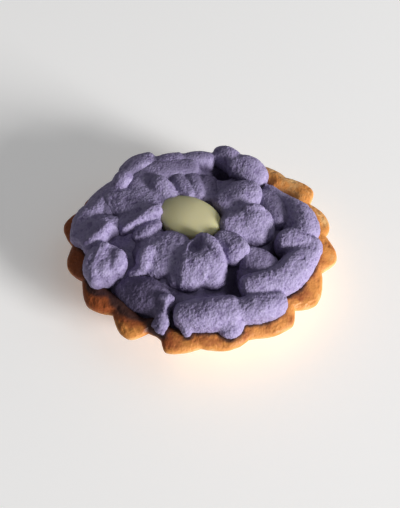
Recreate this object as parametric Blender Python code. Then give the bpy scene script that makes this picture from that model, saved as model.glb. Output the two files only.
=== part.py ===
"""A small fluted tartlet with a flower of piped cream on top.

Three pieces, each one closed solid: the baked shell with its flared, fluted wall; the cream, a
bed that fills the shell with two rings of piped strokes fused to it; and the pale dollop that
shows in the middle of the flower. Metres, +Z up, standing on z = 0 with the shell's axis on Z.
"""

import math
from collections import namedtuple

import bmesh
import bpy
import numpy as np
from mathutils import Vector, noise

MM = 0.001

# Driving sizes of the whole tartlet.
SHELL_HEIGHT = 14.0 * MM  # table to the crest of the rim
BASE_RADIUS = 28.0 * MM
VALLEY_RADIUS = 35.8 * MM  # axis to the rim in an average valley between two flutes
FLUTE_DEPTH = 4.2 * MM  # how much further out the tip of a full flute stands
TIP_RADIUS = VALLEY_RADIUS + FLUTE_DEPTH
CONTACT_GAP = 0.35 * MM  # clearance between pieces that touch

# The flower sits a little off the shell's axis.
FLOWER_CENTRE = Vector((-3.4 * MM, 1.7 * MM))


# ---------------------------------------------------------------- shared helpers


def closed_object(name, bm, colour, roughness):
    """Makes a bmesh an object of its own, faces out, smooth, with a plain material."""
    bmesh.ops.recalc_face_normals(bm, faces=bm.faces)
    mesh = bpy.data.meshes.new(name)
    bm.to_mesh(mesh)
    bm.free()
    mesh.shade_smooth()
    obj = bpy.data.objects.new(name, mesh)
    bpy.context.scene.collection.objects.link(obj)
    material = bpy.data.materials.new(name)
    material.use_nodes = True
    shader = material.node_tree.nodes["Principled BSDF"]
    shader.inputs["Base Color"].default_value = (*colour, 1.0)
    shader.inputs["Roughness"].default_value = roughness
    mesh.materials.append(material)
    return obj


def bridge(bm, lower, upper):
    """Joins two rings of as many vertices with quads."""
    count = len(lower)
    for i in range(count):
        j = (i + 1) % count
        bm.faces.new((lower[i], lower[j], upper[j], upper[i]))


def cap(bm, ring, point):
    """Closes a ring with a fan to one middle point."""
    middle = bm.verts.new(point)
    for i, vertex in enumerate(ring):
        bm.faces.new((vertex, ring[(i + 1) % len(ring)], middle))


def smooth_path(controls, count):
    """Samples a Catmull-Rom curve through rows of numbers, evenly along its x, y, z length."""
    rows = np.array(controls, float)
    ends = np.vstack([2 * rows[0] - rows[1], rows, 2 * rows[-1] - rows[-2]])
    fine = []
    for a, b, c, d in zip(ends, ends[1:], ends[2:], ends[3:]):
        for t in np.linspace(0, 1, 24, endpoint=False):
            fine.append(0.5 * (2 * b + (c - a) * t + (2 * a - 5 * b + 4 * c - d) * t**2
                               + (3 * b - a - 3 * c + d) * t**3))
    fine.append(rows[-1])
    fine = np.array(fine)
    steps = np.linalg.norm(np.diff(fine[:, :3], axis=0), axis=1)
    reached = np.concatenate([[0], np.cumsum(steps)])
    wanted = np.linspace(0, reached[-1], count)
    return np.stack([np.interp(wanted, reached, column) for column in fine.T], axis=1), reached[-1]


# ---------------------------------------------------------------- baked shell

SHELL_COLOUR = (0.62, 0.31, 0.11)
POINTS_PER_SIDE = 4

# The rim's tabs, each pressed into the tin by hand: the direction of a tab's tip and of the
# valley after it, in degrees, how far from the axis both stand, in millimetres, and how square
# the tab's end is, from a point at -0.3 to a broad tab at 0.6. The row at 251.5 is a valley
# that was pressed flat and broad.
Flute = namedtuple("Flute", "tip reach squareness valley low")
FLUTES = (
    Flute(177.0, 40.4, -0.2, 188.2, 37.3),
    Flute(198.0, 39.2, 0.2, 208.0, 36.5),
    Flute(220.0, 38.9, -0.2, 231.0, 35.7),
    Flute(242.5, 39.0, 0.2, 249.2, 35.0),
    Flute(251.5, 35.1, 0.2, 255.8, 35.8),
    Flute(259.4, 38.8, 0.1, 273.0, 36.5),
    Flute(285.0, 37.7, -0.2, 294.0, 36.1),
    Flute(312.4, 38.7, -0.2, 320.0, 35.8),
    Flute(329.5, 39.2, 0.1, 344.4, 36.8),
    Flute(353.6, 40.5, -0.2, 365.2, 37.5),
    Flute(373.6, 39.7, 0.6, 385.0, 36.6),
    Flute(393.0, 40.5, 0.0, 404.6, 36.8),
    Flute(417.6, 39.4, -0.2, 427.0, 36.1),
    Flute(436.2, 39.8, 0.3, 446.0, 36.0),
    Flute(455.9, 39.0, 0.3, 466.0, 36.0),
    Flute(475.5, 39.6, 0.3, 486.0, 36.0),
    Flute(496.0, 38.6, 0.3, 506.0, 35.8),
    Flute(516.3, 37.6, 0.3, 526.8, 36.8),
)

# The shell is out of round: its back was pressed flat by this much over this span.
BACK_PRESSED = 4.8 * MM
BACK_MIDDLE, BACK_HALF_SPAN, BACK_BLEND = 104.0, 62.0, 20.0

# The wall's section at a valley: height, radius, and the share of FLUTE_DEPTH a tip adds.
OUTER_WALL = (
    (0.0, BASE_RADIUS - 1.2 * MM, 0.30),
    (0.9 * MM, BASE_RADIUS, 0.34),
    (6.4 * MM, BASE_RADIUS + 2.9 * MM, 0.62),
    (10.2 * MM, VALLEY_RADIUS - 1.4 * MM, 0.94),
    (11.4 * MM, VALLEY_RADIUS, 1.00),
    (12.5 * MM, VALLEY_RADIUS, 1.00),
)
RIM_CREST = (
    (13.4 * MM, VALLEY_RADIUS - 0.9 * MM, 0.99),
    (SHELL_HEIGHT, VALLEY_RADIUS - 3.2 * MM, 0.83),
)
INNER_WALL = (
    (SHELL_HEIGHT - 0.5 * MM, VALLEY_RADIUS - 5.0 * MM, 0.62),
    (SHELL_HEIGHT - 1.8 * MM, VALLEY_RADIUS - 6.1 * MM, 0.50),
    (7.6 * MM, BASE_RADIUS + 0.4 * MM, 0.32),
    (3.6 * MM, BASE_RADIUS - 2.0 * MM, 0.15),
    (3.0 * MM, BASE_RADIUS - 3.6 * MM, 0.05),
)
FLOOR_HEIGHT = 3.0 * MM
TAB_DROOP = 0.9 * MM  # how far a full tab sags at its edge
RIM_WAVE = 0.35 * MM  # how far the rim wanders up and down


def rim_swell(direction):
    """How far the flutes carry the rim out in a direction: 1 is a full flute, 0 a valley."""
    first = FLUTES[0].tip
    here = (direction - first) % 360 + first
    for flute, following in zip(FLUTES, FLUTES[1:] + (FLUTES[0],)):
        end = following.tip + (360 if following.tip < flute.tip else 0)
        if flute.tip <= here < end:
            if here < flute.valley:
                share, tab = (flute.valley - here) / (flute.valley - flute.tip), flute
            else:
                share, tab = (here - flute.valley) / (end - flute.valley), following
            broad = 1 - (1 - share) ** (1.9 + 1.6 * tab.squareness)
            wave = share * share * (3 - 2 * share)
            reach = flute.low + (tab.reach - flute.low) * (0.72 * broad + 0.28 * wave)
            return (reach * MM - VALLEY_RADIUS) / FLUTE_DEPTH
    return 0.0


def pressed_in(angle):
    """How far the flattened back stands in from the round in a direction, at the rim."""
    aside = abs((angle - BACK_MIDDLE + 180) % 360 - 180)
    share = min(max((BACK_HALF_SPAN - aside) / BACK_BLEND, 0), 1)
    return BACK_PRESSED * share * share * (3 - 2 * share)


def flute_angles():
    """Directions of the shell's columns of points, in degrees, with one on every tip and valley."""
    turning = [angle for flute in FLUTES for angle in (flute.tip, flute.valley)]
    turning.append(turning[0] + 360.0)
    angles = []
    for start, end in zip(turning, turning[1:]):
        angles += [start + (end - start) * i / POINTS_PER_SIDE for i in range(POINTS_PER_SIDE)]
    return angles


def wander(turn, waves, seed):
    """Smooth noise round the shell, from about -0.5 to 0.5, with so many waves to a radian."""
    return noise.noise((math.cos(turn) * waves, math.sin(turn) * waves, seed))


def shell_ring(bm, angles, height, radius, share, grow):
    """One ring of the shell's section, its radius swelling with the flutes."""
    ring = []
    up = height / SHELL_HEIGHT
    for angle in angles:
        turn = math.radians(angle)
        swell = rim_swell(angle)
        reach = radius + share * swell * FLUTE_DEPTH + grow
        reach -= pressed_in(angle) * (radius / TIP_RADIUS) ** 2 * (0.35 + 0.65 * share)
        droop = TAB_DROOP * share**4 * min(max(swell, 0), 1.2) * up**4
        lift = RIM_WAVE * (wander(turn, 2.3, 1.0) + wander(turn, 7.0, 4.0)) * up**3
        ring.append(bm.verts.new((reach * math.cos(turn), reach * math.sin(turn),
                                  height - droop + lift)))
    return ring


def shell_bmesh(clearance=0.0):
    """The shell as a closed surface. With a clearance its inside face and rim stand that much
    proud, which is the shape that the cream is cut back by."""
    bm = bmesh.new()
    angles = flute_angles()
    rings = [shell_ring(bm, angles, *row, grow=0.0) for row in OUTER_WALL]
    rings += [shell_ring(bm, angles, height + clearance, radius, share, grow=0.0)
              for height, radius, share in RIM_CREST]
    rings += [shell_ring(bm, angles, height + clearance, radius, share, grow=-clearance)
              for height, radius, share in INNER_WALL]
    for lower, upper in zip(rings, rings[1:]):
        bridge(bm, lower, upper)
    cap(bm, rings[0], (0, 0, 0))
    cap(bm, rings[-1], (0, 0, FLOOR_HEIGHT + clearance))
    return bm


# ---------------------------------------------------------------- pale dollop in the middle

DOLLOP_COLOUR = (0.52, 0.48, 0.26)
DOLLOP_HALF_SIZE = Vector((10.0 * MM, 7.0 * MM, 2.4 * MM))
DOLLOP_TURN = math.radians(-24)
DOLLOP_TOP = SHELL_HEIGHT + 8.7 * MM
DOLLOP_FOOT = SHELL_HEIGHT + 2.2 * MM


def dollop_bmesh(clearance=0.0, around=28, up=9):
    """A smooth low dome on a short straight foot, wider one way than the other."""
    bm = bmesh.new()
    half = DOLLOP_HALF_SIZE + Vector((clearance,) * 3)
    waist = DOLLOP_TOP - DOLLOP_HALF_SIZE.z
    levels = [(DOLLOP_FOOT - clearance, 1.0)]
    levels += [(waist + half.z * math.sin(math.radians(rise)), math.cos(math.radians(rise)))
               for rise in np.linspace(0, 80, up)]
    rings = []
    for height, share in levels:
        ring = []
        for i in range(around):
            turn = 2 * math.pi * i / around
            x, y = half.x * share * math.cos(turn), half.y * share * math.sin(turn)
            ring.append(bm.verts.new((
                FLOWER_CENTRE.x + x * math.cos(DOLLOP_TURN) - y * math.sin(DOLLOP_TURN),
                FLOWER_CENTRE.y + x * math.sin(DOLLOP_TURN) + y * math.cos(DOLLOP_TURN),
                height)))
        rings.append(ring)
    for lower, upper in zip(rings, rings[1:]):
        bridge(bm, lower, upper)
    cap(bm, rings[0], (*FLOWER_CENTRE, levels[0][0]))
    cap(bm, rings[-1], (*FLOWER_CENTRE, waist + half.z))
    return bm


# ---------------------------------------------------------------- piped cream

CREAM_COLOUR = (0.30, 0.25, 0.42)

# A piped stroke follows a path of (direction in degrees, radius, crest height above the rim),
# both in millimetres, and is as wide as half_widths either side of it. top and drop are how far
# its body swells above and below its middle line, in millimetres. roll tips it sideways, in
# degrees: its right edge goes up, seen along the path.
Stroke = namedtuple("Stroke", "name path half_widths top drop roll", defaults=(0.0,))

INNER_RING = (
    Stroke("front_body", ((266, 8.0, 7.8), (268, 12.4, 8.8), (269, 15.8, 7.8), (270, 17.6, 5.6)),
           (3.4, 5.4, 5.4, 4.0), 3.2, 3.6),
    Stroke("front_a", ((258, 8.4, 7.6), (255, 12.6, 8.7), (257.5, 16.8, 7.8), (260, 20.0, 4.4)),
           (2.2, 3.4, 3.6, 3.0), 3.2, 3.6),
    Stroke("front_b", ((277, 8.6, 8.2), (282, 12.4, 9.2), (282.5, 15.8, 8.4), (280, 18.4, 4.8)),
           (2.6, 4.2, 4.7, 4.3), 3.2, 3.6, 6),
    Stroke("front_curl", ((252, 7.6, 8.8), (266, 7.2, 9.8), (281, 8.2, 10.3), (289.5, 11.0, 10.2),
                          (291, 14.4, 9.2), (291.5, 16.8, 6.8)),
           (1.2, 1.4, 1.7, 2.0, 2.0, 1.5), 1.9, 2.8),
    Stroke("front_right", ((311, 8.0, 8.6), (319, 11.2, 9.0), (320.5, 14.2, 9.4),
                           (318.5, 16.2, 8.4)),
           (3.0, 4.1, 4.2, 3.8), 2.8, 3.4, 4),
    Stroke("right", ((353, 7.2, 8.2), (359, 12.0, 8.6), (360, 16.2, 8.6), (360.5, 18.8, 7.0)),
           (3.6, 5.6, 6.2, 4.6), 3.2, 3.8, -24),
    Stroke("right_lip", ((18, 13.0, 9.6), (15, 15.6, 10.4), (12, 17.8, 9.6)),
           (0.9, 1.3, 0.9), 1.2, 3.0),
    Stroke("right_back", ((56, 8.8, 6.6), (51, 13.2, 7.6), (45, 17.0, 8.4), (39, 19.6, 7.8)),
           (2.4, 4.4, 5.0, 4.2), 2.8, 3.6, 6),
    Stroke("back_c", ((80, 9.2, 6.6), (83, 13.4, 6.4), (85, 17.8, 5.6)),
           (2.2, 3.4, 3.4), 2.4, 3.4, -6),
    Stroke("back_b", ((95, 9.6, 7.1), (99, 14.0, 7.0), (101, 18.4, 5.9)),
           (2.0, 3.0, 3.2), 2.4, 3.4, -6),
    Stroke("back_a", ((110, 9.8, 7.4), (114, 14.0, 7.4), (115, 18.6, 6.4)),
           (2.0, 3.2, 3.2), 2.4, 3.4, -8),
    Stroke("back_left", ((136, 11.2, 7.8), (138, 14.6, 8.6), (137, 17.8, 8.6)),
           (2.2, 3.2, 3.0), 2.8, 3.6, 22),
    Stroke("back_left_low", ((152, 11.5, 6.6), (150, 16.0, 7.4), (147, 22.0, 7.2)),
           (2.6, 4.6, 5.0), 2.4, 3.4, -6),
    Stroke("left_back", ((165, 13.2, 7.4), (163, 18.2, 7.2), (160.5, 24.6, 6.8)),
           (3.2, 5.2, 5.8), 2.4, 3.2, -6),
    Stroke("left", ((174, 12.0, 7.0), (181, 17.0, 6.8), (184, 22.5, 6.0)),
           (2.6, 3.6, 3.4), 2.2, 3.2, 12),
    Stroke("left_edge", ((167, 11.6, 9.4), (176, 13.8, 9.8), (184.5, 17.0, 9.2), (190, 20.4, 8.0),
                         (193, 22.8, 6.4)),
           (1.9, 2.0, 1.7, 1.4, 1.1), 2.0, 3.6, 16),
    Stroke("front_left_edge", ((186, 11.2, 7.8), (192, 14.0, 7.8), (197, 17.0, 6.9),
                               (200, 19.6, 5.6)),
           (1.6, 2.6, 2.6, 1.6), 1.5, 3.6, 6),
    Stroke("front_left", ((228, 9.0, 6.8), (224, 13.2, 6.4), (221, 16.8, 5.4), (220, 19.4, 3.4)),
           (3.4, 6.4, 7.2, 5.8), 2.8, 3.6, -14),
    Stroke("front_left_rib", ((214, 16.4, 6.6), (217, 18.6, 7.6), (220.5, 20.6, 7.1),
                              (223.5, 22.2, 5.2)),
           (1.4, 2.2, 2.2, 1.4), 2.4, 4.0, 16),
    Stroke("front_left_tail", ((223.5, 22.8, 4.6), (223.2, 24.4, 3.4), (222.6, 25.6, 2.2)),
           (1.0, 1.2, 0.8), 1.0, 2.6, 10),
)

OUTER_RING = (
    Stroke("left", ((183, 23.5, 6.0), (186, 29.0, 6.2), (190, 34.0, 4.2)),
           (3.0, 4.2, 3.2), 2.4, 3.2, 12),
    Stroke("left_edge", ((187, 25.6, 8.0), (192, 27.8, 8.0), (195.5, 31.0, 7.0),
                         (197, 33.4, 5.8)),
           (1.2, 1.8, 1.7, 1.2), 1.8, 3.0),
    Stroke("left_front_base", ((205, 27.0, 6.4), (211, 30.8, 6.0), (214, 33.8, 3.8)),
           (4.4, 5.8, 5.4), 2.6, 3.0),
    Stroke("left_front_a", ((202, 27.8, 7.4), (208, 30.4, 7.3), (212.5, 33.0, 6.3),
                            (214.5, 34.8, 4.6)),
           (1.8, 2.7, 3.0, 2.4), 2.4, 3.4),
    Stroke("left_front_b", ((210.5, 25.4, 7.0), (215, 27.4, 7.0), (218.5, 30.4, 5.4)),
           (2.2, 2.8, 2.4), 2.4, 3.4),
    Stroke("left_front_rib", ((202, 31.0, 6.6), (206, 33.2, 6.4), (208.5, 35.0, 5.0)),
           (0.9, 1.2, 1.0), 1.2, 2.6),
    Stroke("front_left", ((222, 29.2, 0.5), (232, 28.4, 1.5), (243, 27.8, 2.7),
                          (249.5, 27.6, 3.1)),
           (4.0, 5.2, 4.8, 3.6), 2.8, 3.4),
    Stroke("strand", ((253.0, 26.7, 5.4), (253.3, 28.4, 4.8), (252.9, 30.3, 3.4),
                      (254.0, 32.0, 2.3), (254.7, 33.5, 1.2), (255.8, 34.4, 0.4)),
           (1.2, 1.0, 1.8, 2.1, 1.8, 1.0), 1.3, 1.6),
    Stroke("strand_head", ((249.2, 27.0, 4.9), (252.6, 26.5, 5.5), (256.2, 26.3, 5.0)),
           (0.9, 1.4, 1.0), 1.2, 2.4),
    Stroke("strand_side", ((253.4, 31.2, 2.5), (251.6, 32.4, 1.5), (250.2, 33.3, 0.8)),
           (1.0, 1.3, 0.8), 1.0, 1.2),
    Stroke("front", ((261.5, 28.8, 5.0), (269, 28.8, 5.8), (279, 28.6, 6.3), (291, 28.8, 6.0)),
           (3.2, 4.4, 4.6, 4.2), 3.2, 3.8, -10),
    Stroke("front_drop_a", ((265.5, 30.8, 4.0), (266.2, 32.6, 2.4), (267.2, 33.7, 1.0)),
           (2.2, 1.6, 0.9), 1.4, 1.4),
    Stroke("front_drop_b", ((285.5, 30.2, 5.0), (286, 33.0, 3.4), (285, 34.8, 1.5)),
           (4.4, 3.9, 2.3), 2.2, 1.8),
    Stroke("front_right", ((291, 29.0, 5.4), (300, 30.0, 6.0), (308.5, 31.3, 6.1),
                           (315, 32.3, 5.2)),
           (3.2, 4.1, 4.3, 3.6), 3.0, 3.4, -8),
    Stroke("right_front", ((301, 25.2, 5.8), (307, 25.9, 6.4), (315, 27.5, 6.9), (325, 28.8, 7.1),
                           (336, 29.9, 7.2), (345, 31.2, 7.0), (353, 32.0, 6.6)),
           (3.0, 3.6, 4.2, 4.6, 4.6, 4.1, 3.2), 3.4, 4.0, -20),
    Stroke("right_curl", ((348.5, 23.4, 7.6), (351, 25.8, 8.5), (351, 28.8, 8.5),
                          (351, 30.4, 7.4)),
           (2.6, 3.6, 3.6, 2.8), 3.0, 2.8, -14),
    Stroke("right_back", ((39, 25.0, 5.2), (28, 26.3, 5.8), (20, 28.2, 6.6), (12, 30.2, 7.5),
                          (5, 31.1, 7.8), (358, 31.4, 7.4)),
           (2.6, 3.2, 3.3, 3.9, 4.0, 3.3), 3.0, 3.6, 24),
    Stroke("back_right", ((70, 24.6, 7.0), (62, 25.2, 8.4), (53, 25.6, 8.3), (46, 26.0, 6.4)),
           (2.4, 4.4, 4.6, 3.2), 3.4, 4.2, -12),
    Stroke("back_peak", ((82, 27.6, 6.8), (76.5, 27.6, 8.8), (70, 26.6, 8.6)),
           (2.2, 2.8, 2.8), 3.0, 4.4),
    Stroke("back", ((104, 25.6, 6.0), (95, 25.4, 6.8), (86, 25.4, 6.9)),
           (2.4, 3.4, 2.6), 2.8, 4.2, 4),
    Stroke("back_left", ((127, 26.4, 6.2), (117, 26.0, 6.8), (106, 25.8, 6.4)),
           (2.8, 3.8, 3.2), 2.8, 4.2, 8),
    Stroke("left_back_outer", ((142, 30.0, 5.8), (133, 30.2, 6.6), (123, 29.4, 6.4)),
           (2.6, 3.4, 2.8), 2.8, 4.2),
    Stroke("left_back", ((151, 26.6, 7.2), (143.5, 27.6, 8.4), (134, 27.2, 8.0)),
           (3.0, 4.0, 3.4), 3.0, 4.2, 6),
    Stroke("left_back_low", ((153, 27.4, 5.6), (163, 28.8, 6.0), (173, 30.2, 6.2)),
           (4.2, 5.6, 5.2), 2.8, 4.0, -22),
    Stroke("left_low", ((171, 32.3, 5.4), (181, 33.6, 5.2), (190, 34.4, 3.8)),
           (3.2, 3.6, 3.0), 2.8, 3.2, -10),
)

LOWER_LAYER = (
    Stroke("right_band", ((40, 22.0, 4.2), (25, 23.0, 4.0), (10, 23.4, 3.6)),
           (3.2, 4.2, 3.4), 2.4, 3.6),
    Stroke("right_mid", ((326, 17.0, 6.0), (331, 20.2, 7.2), (333, 23.0, 6.6)),
           (2.8, 3.8, 3.4), 2.8, 4.0),
    Stroke("right_low", ((309, 20.5, 3.2), (322, 22.4, 4.0), (335, 25.2, 3.6)),
           (2.8, 3.8, 3.0), 2.2, 3.6),
    Stroke("back_fill", ((146, 22.5, 6.2), (120, 22.0, 6.2), (96, 21.5, 6.0)),
           (3.2, 4.2, 3.2), 2.4, 3.6),
    Stroke("left_fill", ((150, 25.0, 6.4), (162, 25.6, 6.5), (172, 26.0, 6.2)),
           (2.6, 3.2, 2.6), 2.4, 3.6),
    Stroke("front_low", ((252, 24.0, 2.6), (270, 25.0, 3.2), (288, 24.0, 2.6)),
           (2.8, 3.4, 2.8), 2.0, 3.2),
)

# A stroke's section is an oval with squarer shoulders, narrower at its top than at its foot,
# and its ends are blunt.
SHOULDER_POWER = 0.68
TOP_NARROWER, FOOT_WIDER = 0.30, 0.10
END_REACH, END_BLUNTNESS = 0.65, 2.3
FACET_PITCH = 1.4  # spacing of a stroke's rings and of the points round them, in millimetres
CREASE_SIZE = 0.5 * MM
CREAM_FACETS = 7700


def polar_point(direction, radius, height):
    turn = math.radians(direction)
    return (radius * MM * math.cos(turn), radius * MM * math.sin(turn), SHELL_HEIGHT + height * MM)


# The bed that fills the shell: height above the rim and radius, from the middle outwards.
BED_PROFILE = ((2.0, 0), (3.0, 9), (3.8, 14), (3.4, 20), (2.4, 25), (0.6, 28.5), (-2.6, 31), (-6, 34))

# The bed is piled higher towards the back left: a direction in degrees, millimetres of height.
BED_LEAN_TOWARDS, BED_LEAN = 130, 1.4

# Hollows left between strokes: direction, radius, how far below the bed and how wide, in mm.
HOLLOWS = (
    (76, 23.4, 6.5, 3.0),
    (347, 25.6, 6.5, 3.2),
    (301, 19.4, 4.5, 4.2),
    (288, 25.6, 3.0, 3.6),
    (232, 22.8, 4.0, 3.0),
    (258, 26.5, 3.0, 3.6),
)


def bed_height(x, y):
    """Height of the bed above the rim, in millimetres, with its hollows."""
    radius = math.hypot(x, y)
    height = float(np.interp(radius, [r for _, r in BED_PROFILE], [h for h, _ in BED_PROFILE]))
    lean = math.cos(math.atan2(y, x) - math.radians(BED_LEAN_TOWARDS))
    height += BED_LEAN * lean * min(radius / 20, 1) * min(max((32 - radius) / 4, 0), 1)
    for direction, away, depth, width in HOLLOWS:
        turn = math.radians(direction)
        square = (x - away * math.cos(turn)) ** 2 + (y - away * math.sin(turn)) ** 2
        height -= depth * math.exp(-square / width**2)
    return height


def lowest(radius):
    """How far below the rim a stroke may reach at a radius: it stops on the shell's wall."""
    return float(np.interp(radius, (26, 28.5, 30.5, 32.5, 37), (-6, -3.6, -1.5, -0.2, -0.2)))


def end_round(distance, length, reach):
    """How full a stroke is this far along it: blunt round ends, full in between."""
    from_end = min(distance, length - distance)
    if from_end >= reach:
        return 1.0
    return (1 - (1 - from_end / reach) ** END_BLUNTNESS) ** (1 / END_BLUNTNESS)


def stroke_bmesh(stroke, pitch=FACET_PITCH):
    """Sweeps the stroke's oval section along its path, its underside sunk into the bed."""
    bm = bmesh.new()
    controls = []
    for i, spot in enumerate(stroke.path):
        x, y, crest = polar_point(*spot)
        controls.append((x, y, crest - stroke.top * MM, stroke.half_widths[i] * MM))
    for end, inner in ((0, 1), (-1, -2)):
        here, there = np.array(controls[end]), np.array(controls[inner])
        out = (here - there)[:2] / np.linalg.norm((here - there)[:2])
        here[:2] += out * 0.5 * here[3]
        controls[end] = tuple(here)
    rows, length = smooth_path(controls, 60)
    along = min(max(round(length / (pitch * MM)), 5), 15)
    around = min(max(round(4.2 * max(stroke.half_widths) / pitch), 8), 13)
    middle_share = 0.5 - 0.5 * np.cos(np.linspace(0, math.pi, along + 2))
    at = np.interp(middle_share * length, np.linspace(0, length, 60), np.arange(60))
    rings = []
    for i, place in enumerate(at[1:-1], 1):
        low = int(place)
        row = rows[low] + (rows[min(low + 1, 59)] - rows[low]) * (place - low)
        ahead = rows[min(low + 2, 59), :3] - rows[max(low - 1, 0), :3]
        forward = Vector((ahead[0], ahead[1], 0.4 * ahead[2])).normalized()
        side = forward.cross(Vector((0, 0, 1))).normalized()
        up = side.cross(forward)
        tip = math.radians(stroke.roll)
        side, up = (side * math.cos(tip) + up * math.sin(tip),
                    up * math.cos(tip) - side * math.sin(tip))
        full = end_round(middle_share[i] * length, length, min(0.5 * length, END_REACH * row[3]))
        under = (row[2] - SHELL_HEIGHT) / MM - bed_height(row[0] / MM, row[1] / MM) + 0.8
        drop = max(stroke.drop, under)
        ring = []
        for j in range(around):
            turn = 2 * math.pi * (j + 0.5 * (i % 2)) / around
            across = math.copysign(abs(math.cos(turn)) ** SHOULDER_POWER, math.cos(turn))
            rise = math.copysign(abs(math.sin(turn)) ** SHOULDER_POWER, math.sin(turn))
            across *= 1 - TOP_NARROWER * max(rise, 0) + FOOT_WIDER * max(-rise, 0)
            across *= row[3] * full
            rise *= (stroke.top if rise > 0 else drop) * MM * full
            point = Vector(row[:3]) + side * across + up * rise
            point.z = max(point.z, SHELL_HEIGHT + lowest(point.xy.length / MM) * MM)
            ring.append(bm.verts.new(point))
        rings.append(ring)
    for lower, upper in zip(rings, rings[1:]):
        bridge(bm, lower, upper)
    cap(bm, rings[0], rows[0, :3])
    cap(bm, rings[-1], rows[-1, :3])
    roughen(bm, 0.6 * MM, 4.4 * MM)
    roughen(bm, 0.3 * MM, 1.9 * MM)
    bmesh.ops.recalc_face_normals(bm, faces=bm.faces)
    return bm


def roughen(bm, depth, size):
    """Pushes points in and out along their normals by smooth noise of one size of lump."""
    bm.normal_update()
    moved = [(v, v.normal * depth * noise.noise(v.co / size)) for v in bm.verts]
    for vertex, push in moved:
        vertex.co += push


# The bed's edge below its top: height above the table and radius, inside the shell's wall.
BED_EDGE = ((9.6, 32.2), (7.6, 30.7), (3.6, 27.7), (1.5, 26.0))


def bed_bmesh(columns=44):
    """The cream that fills the shell, up to the level that the strokes lie on. Its edge and
    underside run inside the shell's wall, and the shell's own shape cuts them afterwards."""
    bm = bmesh.new()
    rings = []
    for radius in (6, 10, 13, 16, 19, 22, 25, 28, 30):
        ring = []
        for i in range(columns):
            turn = 2 * math.pi * i / columns
            away = radius - 0.5 * pressed_in(math.degrees(turn)) / MM * (radius / 30) ** 2
            x, y = away * math.cos(turn), away * math.sin(turn)
            lump = 0.8 * noise.noise((x / 3.2, y / 3.2, 1.5))
            ring.append(bm.verts.new((x * MM, y * MM,
                                      SHELL_HEIGHT + (bed_height(x, y) + lump) * MM)))
        rings.append(ring)
    for height, radius in BED_EDGE:
        ring = []
        for i in range(columns):
            turn = 2 * math.pi * i / columns
            away = radius * MM - 0.4 * pressed_in(math.degrees(turn))
            ring.append(bm.verts.new((away * math.cos(turn), away * math.sin(turn), height * MM)))
        rings.append(ring)
    for lower, upper in zip(rings, rings[1:]):
        bridge(bm, lower, upper)
    cap(bm, rings[0], (0, 0, SHELL_HEIGHT + BED_PROFILE[0][0] * MM))
    cap(bm, rings[-1], (0, 0, BED_EDGE[-1][0] * MM))
    return bm


def boolean(obj, operation, solver, operand=None, collection=None):
    """Applies one Boolean to obj's mesh."""
    modifier = obj.modifiers.new(operation, "BOOLEAN")
    modifier.operation = operation
    modifier.solver = solver
    if collection is not None:
        modifier.operand_type = "COLLECTION"
        modifier.collection = collection
    else:
        modifier.object = operand
    graph = bpy.context.evaluated_depsgraph_get()
    obj.modifiers[operation].show_viewport = True
    joined = bpy.data.meshes.new_from_object(obj.evaluated_get(graph))
    obj.modifiers.clear()
    obj.data = joined


def keep_largest(obj):
    """Fills the hollows that fusing seals and drops loose scraps, so that one surface is left."""
    bm = bmesh.new()
    bm.from_mesh(obj.data)
    unseen, surfaces = set(bm.faces), []
    while unseen:
        surface, front = [], [unseen.pop()]
        while front:
            face = front.pop()
            surface.append(face)
            for edge in face.edges:
                for other in edge.link_faces:
                    if other in unseen:
                        unseen.discard(other)
                        front.append(other)
        surfaces.append(surface)
    surfaces.sort(key=len)
    for surface in surfaces[:-1]:
        bmesh.ops.delete(bm, geom=surface, context="FACES")
    bmesh.ops.delete(bm, geom=[v for v in bm.verts if not v.link_faces], context="VERTS")
    bm.to_mesh(obj.data)
    bm.free()
    obj.data.shade_smooth()


def even_out(obj):
    """Evens the facets of the fused strokes, which leave slivers where they cross, and thins
    them to CREAM_FACETS. Creases finer than CREASE_SIZE close up."""
    remesh = obj.modifiers.new("even", "REMESH")
    remesh.mode = "VOXEL"
    remesh.voxel_size = CREASE_SIZE
    graph = bpy.context.evaluated_depsgraph_get()
    even = bpy.data.meshes.new_from_object(obj.evaluated_get(graph))
    thin = obj.modifiers.new("thin", "DECIMATE")
    thin.ratio = CREAM_FACETS / (2 * len(even.polygons))
    graph = bpy.context.evaluated_depsgraph_get()
    mesh = bpy.data.meshes.new_from_object(obj.evaluated_get(graph))
    obj.modifiers.clear()
    obj.data = mesh


def make_cream():
    """Fuses the strokes to the bed, then cuts room for the shell and the dollop."""
    cream = closed_object("cream", bed_bmesh(), CREAM_COLOUR, 0.8)
    strokes = bpy.data.collections.new("strokes")
    bpy.context.scene.collection.children.link(strokes)
    for ring, prefix in ((INNER_RING, "inner"), (OUTER_RING, "outer"), (LOWER_LAYER, "lower")):
        for stroke in ring:
            mesh = bpy.data.meshes.new(f"{prefix}_{stroke.name}")
            bm = stroke_bmesh(stroke)
            bm.to_mesh(mesh)
            bm.free()
            strokes.objects.link(bpy.data.objects.new(mesh.name, mesh))
    boolean(cream, "UNION", "MANIFOLD", collection=strokes)
    for piece in list(strokes.objects):
        bpy.data.objects.remove(piece)
    bpy.data.collections.remove(strokes)
    even_out(cream)
    keep_largest(cream)
    for name, bm in (("shell_room", shell_bmesh(CONTACT_GAP)),
                     ("dollop_room", dollop_bmesh(CONTACT_GAP))):
        cutter = closed_object(name, bm, CREAM_COLOUR, 0.8)
        boolean(cream, "DIFFERENCE", "MANIFOLD", operand=cutter)
        bpy.data.objects.remove(cutter)
    keep_largest(cream)
    return cream


def main():
    for obj in list(bpy.data.objects):
        bpy.data.objects.remove(obj)
    closed_object("shell", shell_bmesh(), SHELL_COLOUR, 0.6)
    closed_object("dollop", dollop_bmesh(), DOLLOP_COLOUR, 0.45)
    make_cream()


main()
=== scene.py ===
import math
from collections import namedtuple

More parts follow.
